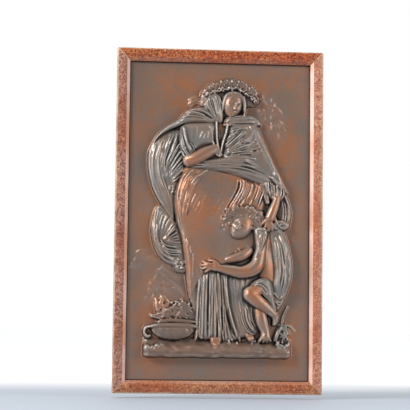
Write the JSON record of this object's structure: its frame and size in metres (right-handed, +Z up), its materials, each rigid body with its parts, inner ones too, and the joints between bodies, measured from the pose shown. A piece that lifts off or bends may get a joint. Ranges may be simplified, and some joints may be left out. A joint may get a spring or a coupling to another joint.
{
  "type": "relief plaque",
  "caption": "Framed bronze relief of a draped, wreathed woman sheltering a child beside a brazier.",
  "frame": {"origin": "middle of the top rail's back face, where the plaque hangs against the wall", "axes": "+Z up, +X to the viewer's right, the relief faces -Y and the back lies on the wall plane Y = 0"},
  "size_m": [0.278, 0.0375, 0.46],
  "materials": {
    "bronze": "brown patina, satin, rubbed on the high parts",
    "frame_wood": "red-brown burr finish, satin"
  },
  "bodies": {
    "root": {"relief_panel": "bronze", "frame_top_rail": "frame_wood", "frame_right_stile": "frame_wood", "frame_bottom_rail": "frame_wood", "frame_left_stile": "frame_wood"}
  },
  "joints": []
}
